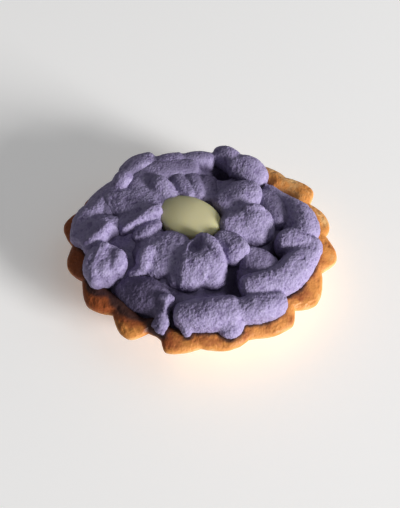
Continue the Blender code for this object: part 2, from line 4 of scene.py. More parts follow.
import bpy
import numpy as np
from mathutils import Matrix, Vector, noise
from mathutils.bvhtree import BVHTree


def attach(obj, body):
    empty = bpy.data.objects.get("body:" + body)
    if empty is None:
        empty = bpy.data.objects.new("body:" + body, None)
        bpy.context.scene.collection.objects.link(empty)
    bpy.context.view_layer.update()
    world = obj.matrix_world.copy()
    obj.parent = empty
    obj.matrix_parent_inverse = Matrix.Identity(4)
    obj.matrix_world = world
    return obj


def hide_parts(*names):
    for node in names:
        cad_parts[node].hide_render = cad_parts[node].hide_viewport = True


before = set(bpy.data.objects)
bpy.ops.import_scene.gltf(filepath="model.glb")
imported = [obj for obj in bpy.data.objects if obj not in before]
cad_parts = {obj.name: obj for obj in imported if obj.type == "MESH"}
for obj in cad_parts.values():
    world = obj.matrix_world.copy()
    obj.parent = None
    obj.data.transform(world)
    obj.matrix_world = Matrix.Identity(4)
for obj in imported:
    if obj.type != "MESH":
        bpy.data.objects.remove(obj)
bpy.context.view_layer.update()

# ---------------------------------------------------------------- the baked shell
# Sweet short pastry, pressed by hand into a small flared tin with fluted sides and baked
# until its edge is brown. The dough is thick, so its flutes end in broad rounded tabs, and
# the back of the rim was pushed in when the tartlet was turned out.

MM = 0.001  # lengths below are in millimetres unless they say otherwise, and the frame in metres
RIM = 14.0  # millimetres from the table to the crest of the rim
VALLEY = 35.8  # millimetres from the axis to the rim in a valley between two flutes
FLUTE_DEPTH = 4.2  # how much further out the tip of a full flute stands
BASE = 28.0  # radius of the flat base

# A flute has a tip, at a direction in degrees and a radius (reach), and a valley after it, at
# a direction and a radius (low). The squarer it is, the blunter its tab.
Flute = namedtuple("Flute", "tip reach squareness valley low")
FLUTES = (
    Flute(177.0, 40.2, -0.2, 188.2, 37.1),
    Flute(198.0, 39.0, 0.2, 208.0, 36.3),
    Flute(220.0, 38.7, -0.2, 231.0, 35.5),
    Flute(242.5, 38.8, 0.2, 249.2, 34.8),
    Flute(251.5, 34.9, 0.2, 255.8, 35.6),
    Flute(259.4, 38.6, 0.1, 273.0, 36.3),
    Flute(285.0, 37.5, -0.2, 294.0, 35.9),
    Flute(312.4, 38.5, -0.2, 320.0, 35.6),
    Flute(329.5, 39.0, 0.1, 344.4, 36.6),
    Flute(353.6, 40.3, -0.2, 365.2, 37.3),
    Flute(373.6, 39.5, 0.6, 385.0, 36.4),
    Flute(393.0, 40.3, 0.0, 404.6, 36.6),
    Flute(417.6, 39.2, -0.2, 427.0, 35.9),
    Flute(436.2, 39.6, 0.3, 446.0, 35.8),
    Flute(455.9, 38.8, 0.3, 466.0, 35.8),
    Flute(475.5, 39.4, 0.3, 486.0, 35.8),
    Flute(496.0, 38.4, 0.3, 506.0, 35.6),
    Flute(516.3, 37.4, 0.3, 526.8, 36.6),
)
TAB_BLUNTNESS, TAB_SQUARER = 1.9, 1.6
TAB_SHARE, WAVE_SHARE = 0.72, 0.28  # a flute's outline is part flat tab, part plain wave
DROOP = 0.9  # how far the tip of a full flute hangs down
UNEVEN = 0.35  # how far the crest wanders up and down

BACK_PRESSED = 4.8  # how far the back of the rim is pushed in
BACK_MIDDLE, BACK_HALF_SPAN, BACK_BLEND = 104.0, 62.0, 20.0  # degrees
PRESSED_BASE, PRESSED_TABS = 0.35, 0.65  # the share that the wall and its tabs take of it

COLUMNS = 680  # points round the shell
ROWS_BETWEEN = 8  # rows from one step of the section to the next
CREST_STEP = 10  # the step of the section where the wall turns over the crest

# The wall's section at a valley: height, radius, and the share of the flute that a tip adds.
SECTION = (
    (0.0, BASE - 4.0, 0.10),
    (0.0, BASE - 1.2, 0.30),
    (0.9, BASE, 0.34),
    (3.4, BASE + 1.3, 0.46),
    (6.4, BASE + 2.9, 0.62),
    (8.8, BASE + 4.7, 0.80),
    (10.4, VALLEY - 1.3, 0.95),
    (11.4, VALLEY - 0.1, 1.00),
    (12.5, VALLEY - 0.1, 1.00),
    (13.3, VALLEY - 0.9, 0.99),
    (13.8, VALLEY - 2.2, 0.93),
    (RIM, VALLEY - 3.6, 0.80),
    (RIM - 0.3, VALLEY - 4.8, 0.64),
    (RIM - 1.6, VALLEY - 5.9, 0.50),
    (7.6, BASE + 0.4, 0.32),
    (3.6, BASE - 2.0, 0.15),
    (3.0, BASE - 3.6, 0.05),
)


def mesh_object(name, points, faces):
    """Makes an object from points in millimetres and rows of quads or triangles."""
    mesh = bpy.data.meshes.new(name)
    mesh.from_pydata([tuple(p) for p in np.asarray(points) * MM], [], faces)
    mesh.update()
    mesh.shade_smooth()
    obj = bpy.data.objects.new(name, mesh)
    bpy.context.scene.collection.objects.link(obj)
    return obj


def points_of(obj):
    """An object's vertices and their normals, in millimetres."""
    count = len(obj.data.vertices)
    points, normals = np.zeros(count * 3), np.zeros(count * 3, np.float32)
    obj.data.vertices.foreach_get("co", points)
    obj.data.vertex_normals.foreach_get("vector", normals)
    return points.reshape(-1, 3) / MM, normals.reshape(-1, 3).astype(float)


def move_points(obj, points):
    obj.data.vertices.foreach_set("co", (np.asarray(points) * MM).ravel())
    obj.data.update()


def lumps(points, size, seed):
    """Smooth noise from -1 to 1 at each point, with lumps of one size."""
    scaled = points / size + seed
    return np.array([noise.noise(p) for p in scaled.tolist()])


def paint(obj, name, values):
    """Keeps one number per vertex for the material to read."""
    layer = obj.data.attributes.new(name, "FLOAT", "POINT")
    layer.data.foreach_set("value", np.asarray(values, np.float32))


def eased(value, low, high):
    """0 below low, 1 above high, and a smooth step between them."""
    share = np.clip((value - low) / (high - low), 0, 1)
    return share * share * (3 - 2 * share)


def bell(value, middle, spread, power=2):
    """1 at the middle value, falling to 0 on either side of it."""
    return np.exp(-((value - middle) / spread) ** power)


def directions_of(points):
    """The direction of each point from the axis, in degrees from 0 to 360."""
    return np.degrees(np.arctan2(points[:, 1], points[:, 0])) % 360


def through(controls, per_step):
    """Points on a smooth curve through rows of numbers, so many to each step."""
    rows = np.array(controls, float)
    ends = np.vstack([2 * rows[0] - rows[1], rows, 2 * rows[-1] - rows[-2]])
    t = np.linspace(0, 1, per_step, endpoint=False)[:, None]
    fine = [0.5 * (2 * b + (c - a) * t + (2 * a - 5 * b + 4 * c - d) * t**2
                   + (3 * b - a - 3 * c + d) * t**3)
            for a, b, c, d in zip(ends, ends[1:], ends[2:], ends[3:])]
    return np.vstack(fine + [rows[-1:]])


def rim_swell(direction):
    """How far the flutes carry the rim out at a direction: 1 is a full flute, 0 a valley."""
    for flute, following in zip(FLUTES, FLUTES[1:] + (FLUTES[0],)):
        end = following.tip + (360 if following.tip < flute.tip else 0)
        here = direction + (360 if direction < FLUTES[0].tip else 0)
        if flute.tip <= here < end:
            if here < flute.valley:
                share, tip = (flute.valley - here) / (flute.valley - flute.tip), flute
            else:
                share, tip = (here - flute.valley) / (end - flute.valley), following
            tab = 1 - (1 - share) ** (TAB_BLUNTNESS + TAB_SQUARER * tip.squareness)
            blend = TAB_SHARE * tab + WAVE_SHARE * eased(share, 0, 1)
            return (flute.low + (tip.reach - flute.low) * blend - VALLEY) / FLUTE_DEPTH
    return 0.0


def pressed_in(direction):
    """How far the flattened back of the rim stands in, in millimetres."""
    aside = np.abs((np.asarray(direction, float) - BACK_MIDDLE + 180) % 360 - 180)
    return BACK_PRESSED * eased(BACK_HALF_SPAN - aside, 0, BACK_BLEND)


def revolve(rings, closed_start, closed_end):
    """Quads between rings of equal length, with a fan over the first and the last one."""
    points = np.vstack([*rings, [closed_start], [closed_end]])
    around, count = len(rings[0]), len(rings)
    faces = []
    for row in range(count - 1):
        for i in range(around):
            j = (i + 1) % around
            faces.append((row * around + i, row * around + j,
                          (row + 1) * around + j, (row + 1) * around + i))
    start, end, last = count * around, count * around + 1, (count - 1) * around
    for i in range(around):
        j = (i + 1) % around
        faces.append((j, i, start))
        faces.append((last + i, last + j, end))
    return points, faces


def wandering(turns, busy, seed):
    """Smooth noise from -1 to 1 round the rim, which meets itself after one turn."""
    return np.array([noise.noise((math.cos(t) * busy, math.sin(t) * busy, seed))
                     for t in turns])


directions = np.linspace(0, 360, COLUMNS, endpoint=False)
swell = np.array([rim_swell(direction) for direction in directions])
pressed = pressed_in(directions)
turns = np.radians(directions)
uneven = wandering(turns, busy=2.3, seed=1.0)
tab_tilt = wandering(turns, busy=7.0, seed=4.0)
section = through(SECTION, ROWS_BETWEEN)
shell_rings = []
for height, radius, share in section:
    up = max(height, 0) / RIM
    reach = radius + share * swell * FLUTE_DEPTH
    reach = reach - pressed * (radius / 40) ** 2 * (PRESSED_BASE + PRESSED_TABS * share)
    droop = DROOP * share**4 * np.clip(swell, 0, 1.2) * up**4
    rise = height - droop + (UNEVEN * uneven + UNEVEN * tab_tilt) * up**3
    shell_rings.append(np.stack([reach * np.cos(turns), reach * np.sin(turns),
                                 np.maximum(rise, 0)], axis=1))
shell_points, shell_faces = revolve(shell_rings, (0, 0, 0), (0, 0, SECTION[-1][0]))
shell = mesh_object("pastry_shell", shell_points, shell_faces)

# The dough's surface: hand-pressed waves, crumb, grains of flour, and an edge that is chipped
# and flaky just below the crest. The base stays flat.
WAVE_HEIGHT, CRUMB_HEIGHT, GRAIN_HEIGHT, CHIP_DEPTH = 0.20, 0.08, 0.04, 0.16
CHIPPED_BELOW, CHIPPED_SPREAD = 4, 9.0  # rows of the shell
CREST_SLACK = 0.4  # the waves may lift the crest by no more than this

points, normals = points_of(shell)
row_of = np.repeat(np.arange(len(section)), COLUMNS)
row_of = np.append(row_of, (0, len(section) - 1))
crest_row = CREST_STEP * ROWS_BETWEEN
near_crest = bell(row_of, crest_row - CHIPPED_BELOW, CHIPPED_SPREAD)
fade = eased(points[:, 2], 0.3, 2.5)
waves = lumps(points, size=5.5, seed=3.1)
crumb = lumps(points, size=1.9, seed=7.7)
grains = lumps(points, size=0.75, seed=1.3)
chips = eased(np.abs(lumps(points, size=1.4, seed=11.0)), 0.2, 0.55)
push = (WAVE_HEIGHT * waves + CRUMB_HEIGHT * crumb + GRAIN_HEIGHT * grains
        - near_crest * CHIP_DEPTH * chips)
moved = points + normals * (push * fade)[:, None]
moved[:, 2] = np.clip(moved[:, 2], 0, RIM + CREST_SLACK)
move_points(shell, moved)

# How brown each spot is baked, from 0 for pale to 1 for dark: the wall below the rim stayed
# pale against the tin. The left is browner and darker, partly a deeper bake and partly painted
# shade for the side away from the window, and the back right is paler, as painted light.
BAKED, BAKED_WAVES, BAKED_CRUMB = 0.42, 0.26, 0.10
PALE_WALL, BROWN_AND_SHADE_LEFT, PAINTED_LIGHT_RIGHT_BACK = 0.36, 0.40, 0.10
BROWN_AND_SHADE_LEFT_TURN, RIGHT_BACK_TURN, RIGHT_BACK_SPREAD = 185, 38, 22

shell_turn = directions_of(points)
outer_face = eased(crest_row - row_of, 9, 25)
# partly painted shade: the left side, away from the window, is made darker as well as browner
left_side = eased(np.cos(np.radians(shell_turn - BROWN_AND_SHADE_LEFT_TURN)), 0.1, 0.9)
# painted light: the tabs at the back right are made paler, as if the light fell on them
right_back = bell(shell_turn, RIGHT_BACK_TURN, RIGHT_BACK_SPREAD)
baked_light_shade = (BAKED + BAKED_WAVES * waves + BAKED_CRUMB * crumb - PALE_WALL * outer_face
         + BROWN_AND_SHADE_LEFT * left_side - PAINTED_LIGHT_RIGHT_BACK * right_back)


def new_material(name):
    """A material whose Principled shader is ready to be wired."""
    material = bpy.data.materials.new(name)
    material.use_nodes = True
    tree = material.node_tree
    return material, tree, tree.nodes["Principled BSDF"]


def speckle_group():
    """A shared effect: fine mottling of a crumbly or grainy surface. It puts out a mask of
    specks, a soft mottle and a height for a Bump node, all from the place on the object."""
    group = bpy.data.node_groups.new("fine_mottle", "ShaderNodeTree")
    for name, in_out in (("Grain", "INPUT"), ("Patches", "INPUT"), ("Specks", "OUTPUT"),
                         ("Mottle", "OUTPUT"), ("Height", "OUTPUT")):
        group.interface.new_socket(name, in_out=in_out, socket_type="NodeSocketFloat")
    nodes, links = group.nodes, group.links
    inlet, outlet = nodes.new("NodeGroupInput"), nodes.new("NodeGroupOutput")
    place = nodes.new("ShaderNodeTexCoord")
    grain = nodes.new("ShaderNodeTexNoise")
    grain.inputs["Detail"].default_value = 3
    patches = nodes.new("ShaderNodeTexNoise")
    patches.inputs["Detail"].default_value = 4
    patches.inputs["Roughness"].default_value = 0.6
    cells = nodes.new("ShaderNodeTexVoronoi")
    for texture in (grain, patches, cells):
        links.new(place.outputs["Object"], texture.inputs["Vector"])
    links.new(inlet.outputs["Grain"], grain.inputs["Scale"])
    links.new(inlet.outputs["Grain"], cells.inputs["Scale"])
    links.new(inlet.outputs["Patches"], patches.inputs["Scale"])
    specks = nodes.new("ShaderNodeMapRange")
    specks.inputs["From Min"].default_value = 0.56
    specks.inputs["From Max"].default_value = 0.74
    links.new(grain.outputs["Fac"], specks.inputs["Value"])
    height = nodes.new("ShaderNodeMath")
    height.operation = "ADD"
    links.new(grain.outputs["Fac"], height.inputs[0])
    links.new(cells.outputs["Distance"], height.inputs[1])
    links.new(specks.outputs["Result"], outlet.inputs["Specks"])
    links.new(patches.outputs["Fac"], outlet.inputs["Mottle"])
    links.new(height.outputs["Value"], outlet.inputs["Height"])
    return group


fine_mottle = speckle_group()


def mottle_node(tree, grain, patches):
    """The fine mottle in a material, with the scales of its grain and of its patches."""
    node = tree.nodes.new("ShaderNodeGroup")
    node.node_tree = fine_mottle
    node.inputs["Grain"].default_value = grain
    node.inputs["Patches"].default_value = patches
    return node


def attribute_node(tree, name):
    """What paint() kept under a name, as a socket."""
    node = tree.nodes.new("ShaderNodeAttribute")
    node.attribute_name = name
    return node.outputs["Fac"]


def give(tree, socket, given):
    """Sets a socket to a value, or links it to another socket."""
    if isinstance(given, bpy.types.NodeSocket):
        tree.links.new(given, socket)
    else:
        socket.default_value = given


MIX_FIRST, MIX_SECOND, MIX_RESULT = 6, 7, 2  # where a Mix node keeps its colour sockets


def mixed(tree, factor, first, second):
    """A mix of two colours. Each of the three is a value or a socket."""
    node = tree.nodes.new("ShaderNodeMix")
    node.data_type = "RGBA"
    give(tree, node.inputs["Factor"], factor)
    give(tree, node.inputs[MIX_FIRST], first)
    give(tree, node.inputs[MIX_SECOND], second)
    return node.outputs[MIX_RESULT]


def ramp(tree, value, low, high, out_low=0.0, out_high=1.0):
    """Eases a value that runs from low to high into one that runs between two limits."""
    node = tree.nodes.new("ShaderNodeMapRange")
    node.interpolation_type = "SMOOTHSTEP"
    for name, number in (("From Min", low), ("From Max", high), ("To Min", out_low),
                         ("To Max", out_high)):
        node.inputs[name].default_value = number
    tree.links.new(value, node.inputs["Value"])
    return node.outputs["Result"]


def mottled(tree, grain, out_low, out_high):
    """A value that goes up and down between two limits in soft patches."""
    return ramp(tree, grain.outputs["Mottle"], 0.3, 0.7, out_low, out_high)


def added(tree, first, second):
    """The sum of two sockets."""
    node = tree.nodes.new("ShaderNodeMath")
    node.operation = "ADD"
    tree.links.new(first, node.inputs[0])
    tree.links.new(second, node.inputs[1])
    return node.outputs["Value"]


def bump(tree, shader, height, strength, distance):
    """Grain that is too fine for the mesh, with its depth in metres."""
    node = tree.nodes.new("ShaderNodeBump")
    node.inputs["Strength"].default_value = strength
    node.inputs["Distance"].default_value = distance
    tree.links.new(height, node.inputs["Height"])
    tree.links.new(node.outputs["Normal"], shader.inputs["Normal"])


PALE_DOUGH = (0.70, 0.42, 0.175, 1)
GOLDEN = (0.60, 0.235, 0.052, 1)
RED_BROWN = (0.30, 0.070, 0.014, 1)
SCORCHED = (0.10, 0.030, 0.012, 1)
# the dark of the juice stain and of the painted shadow along the cream's edge
SOAK_SHADOW_DARK = (0.036, 0.012, 0.010, 1)

pastry, tree, shader = new_material("baked_pastry")
crust_grain = mottle_node(tree, grain=1900, patches=420)
# the baked value also carries painted shade on the left and painted light at the back right
bake_light_shade = added(tree, attribute_node(tree, "baked_light_shade"), mottled(tree, crust_grain, -0.12, 0.12))
burnt_specks = ramp(tree, crust_grain.outputs["Specks"], 0.2, 1.0, out_high=0.14)
colour = mixed(tree, ramp(tree, bake_light_shade, 0.05, 0.45), PALE_DOUGH, GOLDEN)
colour = mixed(tree, ramp(tree, bake_light_shade, 0.48, 0.92), colour, RED_BROWN)
colour = mixed(tree, burnt_specks, colour, SCORCHED)
colour = mixed(tree, attribute_node(tree, "soak_and_shadow"), colour, SOAK_SHADOW_DARK)
tree.links.new(colour, shader.inputs["Base Color"])
tree.links.new(mottled(tree, crust_grain, 0.48, 0.72), shader.inputs["Roughness"])
shader.inputs["Specular IOR Level"].default_value = 0.42
bump(tree, shader, crust_grain.outputs["Height"], strength=0.35, distance=0.00022)
shell.data.materials.append(pastry)
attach(shell, "root")
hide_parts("shell")

# ---------------------------------------------------------------- the bed of cream
# Thick purple whipped cream, grainy because it is beaten with a starchy puree. A first layer
# fills the shell and is left in soft heaps, and the petals are piped on it.

# The bed's top, as heights above the rim and radii, and its edge inside the shell, as heights
# above the table and radii. The top leans up towards the back left.
BED_PROFILE = ((2.0, 0), (3.0, 9), (3.8, 14), (3.4, 20), (2.4, 25), (0.6, 28.5), (-2.6, 31),
               (-6, 34))
BED_EDGE = ((9.6, 32.2), (7.6, 30.7), (3.6, 27.7), (1.5, 26.0))
BED_LEAN_TOWARDS, BED_LEAN = 130, 1.4

# Hollows left between strokes: direction, radius, how far below the bed and how wide.
HOLLOWS = (
    (76, 23.4, 6.5, 3.0),
    (343, 25.4, 7.0, 3.4),
    (301, 19.4, 4.5, 4.2),
    (288, 25.6, 3.0, 3.6),
    (232, 22.8, 4.0, 3.0),
    (258, 26.5, 3.0, 3.6),
)

# A piped stroke follows a path of (direction, radius, crest height above the rim), and is as
# wide as half_widths either side of it. top and drop are how far it swells above and below its
# middle line, roll tips it sideways in degrees, and ribs are the grooves that a notched nozzle
# leaves along it.
Stroke = namedtuple("Stroke", "name path half_widths top drop roll ribs", defaults=(0.0, 0))

LOWER_LAYER = (
    Stroke("right_band", ((36, 21.5, 5.8), (22, 22.8, 6.6), (8, 23.4, 6.6)),
           (3.6, 5.0, 4.0), 2.4, 3.6, 12),
    Stroke("right_mid", ((322, 17.0, 7.6), (323.5, 20.4, 7.3), (325, 24.0, 6.0)),
           (3.4, 4.5, 4.2), 2.8, 4.0),
    Stroke("right_low", ((308, 19.6, 3.8), (316, 21.8, 5.0), (324, 24.2, 5.2)),
           (3.0, 4.2, 3.8), 2.2, 3.6),
    Stroke("back_fill", ((152, 22.0, 6.8), (138, 23.2, 7.2), (120, 22.8, 7.0), (98, 21.6, 6.7)),
           (3.8, 5.2, 5.2, 3.8), 2.4, 3.6),
    Stroke("left_fill", ((157, 26.2, 6.0), (166, 27.0, 6.0), (174, 27.8, 5.2)),
           (3.4, 4.4, 3.0), 2.4, 3.6),
    Stroke("front_low", ((252, 24.0, 2.6), (270, 25.0, 3.2), (288, 24.0, 2.6)),
           (2.8, 3.4, 2.8), 2.0, 3.2),
)


def polar(direction, radius):
    """The x and y of a direction in degrees and a radius."""
    turn = math.radians(direction)
    return radius * math.cos(turn), radius * math.sin(turn)


def hollowed(x, y, direction, radius, width):
    """1 in the middle of a hollow, falling to 0 outside it."""
    hollow_x, hollow_y = polar(direction, radius)
    return np.exp(-((x - hollow_x) ** 2 + (y - hollow_y) ** 2) / width**2)


def bed_height(x, y):
    """Height of the bed above the rim, in millimetres, with its hollows."""
    radius = np.hypot(x, y)
    height = np.interp(radius, [r for _, r in BED_PROFILE], [h for h, _ in BED_PROFILE])
    lean = BED_LEAN * np.cos(np.arctan2(y, x) - math.radians(BED_LEAN_TOWARDS))
    height = height + lean * np.minimum(radius / 20, 1) * np.clip((32 - radius) / 4, 0, 1)
    for direction, away, depth, width in HOLLOWS:
        height = height - depth * hollowed(x, y, direction, away, width)
    return height


def lowest(radius):
    """How far below the rim a stroke may reach at a radius: it stops on the shell's wall."""
    return np.interp(radius, (26, 28.5, 30.5, 32.5, 37), (-6, -3.6, -1.5, -0.2, -0.2))


# What all strokes share.
RUN_ON = 0.5  # how far one runs on past its path, as a share of its half width there
LOOK_AHEAD, SLOPE_KEPT = 0.7, 0.4  # the section stands more upright than the path climbs
END_LENGTH, END_BLUNTNESS = 0.65, 2.3  # the length is a share of the half width
SQUARENESS = 0.64  # 1 gives an oval section, and less gives a flatter top and sides
NARROWER_TOP, WIDER_FOOT = 0.30, 0.10
SUNK = 0.8  # how deep its underside lies in the bed
RIB_DEPTH, RIB_WIDTH, RIB_CROWDING, RIB_RUN = 0.24, 0.22, 0.55, 7
GIRTH = 4.6  # in half widths, to share out the points round the section
FEWEST_RINGS, FEWEST_COLUMNS = 14, 18


def stroke_rings(stroke, pitch):
    """Sweeps the stroke's section along its path: a rounded body with a flattened top, ribs
    that run its length and over its end, and an underside sunk a little into the bed."""
    controls = [[*polar(direction, radius), RIM + crest - stroke.top, half_width]
                for (direction, radius, crest), half_width in zip(stroke.path,
                                                                  stroke.half_widths)]
    for end, inner in ((0, 1), (-1, -2)):
        out = np.array(controls[end][:2]) - np.array(controls[inner][:2])
        out = out / np.linalg.norm(out) * RUN_ON * controls[end][3]
        controls[end][0] += out[0]
        controls[end][1] += out[1]
    fine = through(controls, per_step=40)
    steps = np.linalg.norm(np.diff(fine[:, :3], axis=0), axis=1)
    reached = np.concatenate([[0], np.cumsum(steps)])
    length = reached[-1]
    along = max(int(length / pitch), FEWEST_RINGS)
    at = length * (0.5 - 0.5 * np.cos(np.linspace(0, math.pi, along + 2)))[1:-1]
    rows = np.stack([np.interp(at, reached, column) for column in fine.T], axis=1)
    ahead = np.stack([np.interp(at + LOOK_AHEAD, reached, column)
                      - np.interp(at - LOOK_AHEAD, reached, column)
                      for column in fine[:, :3].T], axis=1)
    ahead[:, 2] *= SLOPE_KEPT
    ahead /= np.linalg.norm(ahead, axis=1)[:, None]
    side = np.cross(ahead, (0, 0, 1))
    side /= np.linalg.norm(side, axis=1)[:, None]
    up = np.cross(side, ahead)
    tip = math.radians(stroke.roll)
    side, up = (side * math.cos(tip) + up * math.sin(tip),
                up * math.cos(tip) - side * math.sin(tip))
    from_end = np.minimum(at, length - at)
    reach = np.minimum(0.5 * length, END_LENGTH * rows[:, 3])
    full = ((1 - np.clip(1 - from_end / reach, 0, 1) ** END_BLUNTNESS)
            ** (1 / END_BLUNTNESS))
    under = rows[:, 2] - RIM - bed_height(rows[:, 0], rows[:, 1]) + SUNK
    drop = np.maximum(stroke.drop, under)
    around = max(int(GIRTH * max(stroke.half_widths) / pitch), FEWEST_COLUMNS)
    rings = []
    for i, row in enumerate(rows):
        angle = 2 * math.pi * np.arange(around) / around
        across = np.sign(np.cos(angle)) * np.abs(np.cos(angle)) ** SQUARENESS
        rise = np.sign(np.sin(angle)) * np.abs(np.sin(angle)) ** SQUARENESS
        across = across * (1 - NARROWER_TOP * np.maximum(rise, 0)
                           + WIDER_FOOT * np.maximum(-rise, 0))
        swell_out = 1.0
        if stroke.ribs:
            streak = np.array([noise.noise((RIB_CROWDING * stroke.ribs * share,
                                            at[i] / RIB_RUN, stroke.path[0][0]))
                               for share in across * full[i]])
            depth = RIB_DEPTH / max(row[3], 2.0) * eased(at[i] / length, 0.1, 0.45)
            swell_out = 1 - depth * (1 - eased(np.abs(streak), 0.0, RIB_WIDTH))
        width = across * row[3] * full[i] * swell_out
        lift = rise * np.where(rise > 0, stroke.top, drop[i]) * full[i] * swell_out
        ring = row[:3] + side[i] * width[:, None] + up[i] * lift[:, None]
        floor = RIM + lowest(np.hypot(ring[:, 0], ring[:, 1]))
        ring[:, 2] = np.maximum(ring[:, 2], floor)
        rings.append(ring)
    return revolve(rings[::-1], rows[-1, :3], rows[0, :3])


def fused(name, parts, cell):
    """Joins closed shapes into one object and fuses them into one even skin."""
    points, faces, start = [], [], 0
    for part_points, part_faces in parts:
        points.append(part_points)
        faces += [tuple(start + i for i in face) for face in part_faces]
        start += len(part_points)
    obj = mesh_object(name, np.vstack(points), faces)
    remesh = obj.modifiers.new("fuse", "REMESH")
    remesh.mode = "VOXEL"
    remesh.voxel_size = cell * MM
    graph = bpy.context.evaluated_depsgraph_get()
    mesh = bpy.data.meshes.new_from_object(obj.evaluated_get(graph))
    obj.modifiers.clear()
    old, obj.data = obj.data, mesh
    bpy.data.meshes.remove(old)
    mesh.name = name
    mesh.shade_smooth()
    return obj


CREASE_FILL, CREST_WEAR = 0.9, 0.25  # the share of the way that a round moves them


def fill_creases(obj, rounds):
    """Lets the cream close the sharp creases between strokes: each round lifts the spots that
    lie below the middle of their neighbours nearly up to it, and wears the others a little."""
    points, normals = points_of(obj)
    mesh = obj.data
    ends = np.zeros(len(mesh.edges) * 2, np.int32)
    mesh.edges.foreach_get("vertices", ends)
    first, second = ends.reshape(-1, 2).T
    count = len(points)
    shared = np.bincount(first, minlength=count) + np.bincount(second, minlength=count)
    for _ in range(rounds):
        middle = np.stack([np.bincount(first, points[second, axis], count)
                           + np.bincount(second, points[first, axis], count)
                           for axis in range(3)], axis=1) / shared[:, None]
        lift = np.sum((middle - points) * normals, axis=1)
        lift = CREASE_FILL * np.maximum(lift, 0) + CREST_WEAR * np.minimum(lift, 0)
        points = points + normals * lift[:, None]
    move_points(obj, points)


CREASE_SHADE = 0.8  # how dark the painted shade in the deepest creases is, from 0 to 1
SHADE_RADIUS = 31.5  # the creases outside it get no painted shade
SHADE_PATCH_TURN, SHADE_PATCH_SPREAD, SHADE_PATCH_TOP = 236, 18, 5.2


def paint_shade(obj, front_left=0.0):
    """Paints shade into the colour: darker in the creases down by the bed, and on the low outer
    face at the front left."""
    points, _ = points_of(obj)
    x, y, z = points.T
    above_bed = z - RIM - bed_height(x, y)
    creases = CREASE_SHADE * (1 - eased(above_bed, 0.2, 2.8))
    painted_shade = creases * eased(SHADE_RADIUS - np.hypot(x, y), 0, 2)
    patch = (bell(directions_of(points), SHADE_PATCH_TURN, SHADE_PATCH_SPREAD, 4)
             * eased(RIM + SHADE_PATCH_TOP - z, 0, 0.8))
    paint(obj, "painted_shade", np.maximum(painted_shade, front_left * patch))


BACK_CALM = 0.6  # how much calmer the skin is at the back of the flower than at its front
PIT_DEPTH = 1.1  # in heights of a grain


def beat(obj, heaps, curds, grains, seed):
    """Gives the skin its whipped, grainy surface, and keeps how far each spot stands out, which
    the colour turns into painted light on raised grains and painted shade in pits. The heaps, the
    curds and the grains each have their own height."""
    points, normals = points_of(obj)
    puffs = lumps(points, size=4.4, seed=seed)
    middle = lumps(points, size=1.4, seed=seed + 4)
    calm = 1 - BACK_CALM * eased(points[:, 1], 0, 18)
    points = points + normals * (calm * (heaps * puffs + curds * middle))[:, None]
    move_points(obj, points)
    points, normals = points_of(obj)
    small = lumps(points, size=0.55, seed=seed + 9)
    pits = eased(lumps(points, size=0.85, seed=seed + 15), 0.35, 0.7)
    push = (grains * small - PIT_DEPTH * grains * pits) * (0.4 + 0.6 * calm)
    move_points(obj, points + normals * push[:, None])
    paint(obj, "relief_light_shade", np.clip(0.5 + 0.45 * middle + 0.35 * small - 0.5 * pits, 0, 1))


CELL = 0.27  # the distance between the points of the petals' skin
BED_COLUMNS, BED_STEP, BED_RADIUS = 300, 0.6, 30
BED_PRESSED, BED_EDGE_PRESSED = 0.5, 0.4  # its share of the push at the back of the rim
SOFT_HEAP, SOFT_HEAP_SIZE = 0.8, 3.2
BED_SHADE, HOLLOW_SHADE, DEEPEST_HOLLOW = 0.25, 0.75, 7.0
SHADE_WIDER = 1.3  # how much wider the painted shade is than its hollow

bed_turns = 2 * math.pi * np.arange(BED_COLUMNS) / BED_COLUMNS
bed_pressed = pressed_in(np.degrees(bed_turns))
bed_rings = []
for radius in np.arange(BED_STEP, BED_RADIUS + 0.1, BED_STEP):
    away = radius - BED_PRESSED * bed_pressed * (radius / BED_RADIUS) ** 2
    x, y = away * np.cos(bed_turns), away * np.sin(bed_turns)
    heaped = np.array([SOFT_HEAP * noise.noise((a / SOFT_HEAP_SIZE, b / SOFT_HEAP_SIZE, 1.5))
                       for a, b in zip(x, y)])
    bed_rings.append(np.stack([x, y, RIM + bed_height(x, y) + heaped], axis=1))
for height, radius in through(BED_EDGE, per_step=5):
    away = radius - BED_EDGE_PRESSED * bed_pressed
    bed_rings.append(np.stack([away * np.cos(bed_turns), away * np.sin(bed_turns),
                               np.full(BED_COLUMNS, height)], axis=1))
bed_shape = revolve(bed_rings[::-1], (0, 0, BED_EDGE[-1][0]), (0, 0, RIM + BED_PROFILE[0][0]))
lower_strokes = [stroke_rings(stroke, pitch=0.5) for stroke in LOWER_LAYER]
cream_bed = fused("cream_bed", [bed_shape, *lower_strokes], cell=1.5 * CELL)
beat(cream_bed, heaps=0.34, curds=0.14, grains=0.13, seed=21.0)
# Painted shade: the bed is darkened a little all over, and more in its deeper hollows.
bed_points, _ = points_of(cream_bed)
sunk = np.zeros(len(bed_points))
for direction, away, depth, width in HOLLOWS:
    share = hollowed(bed_points[:, 0], bed_points[:, 1], direction, away, SHADE_WIDER * width)
    sunk = np.maximum(sunk, depth / DEEPEST_HOLLOW * share)
paint(cream_bed, "painted_shade", np.clip(BED_SHADE + HOLLOW_SHADE * sunk, 0, 0.9))

LAVENDER = (0.285, 0.243, 0.405, 1)
DEEP_PURPLE = (0.190, 0.152, 0.290, 1)
PROUD_HIGHLIGHT = (0.370, 0.330, 0.490, 1)
# the colour of the painted shade
SHADE_PURPLE = (0.088, 0.068, 0.136, 1)

cream_skin, tree, shader = new_material("purple_cream")
cream_grain = mottle_node(tree, grain=1700, patches=260)
relief_light_shade = added(tree, attribute_node(tree, "relief_light_shade"), mottled(tree, cream_grain, -0.15, 0.15))
dark_specks = ramp(tree, cream_grain.outputs["Specks"], 0.1, 0.9, out_high=0.8)
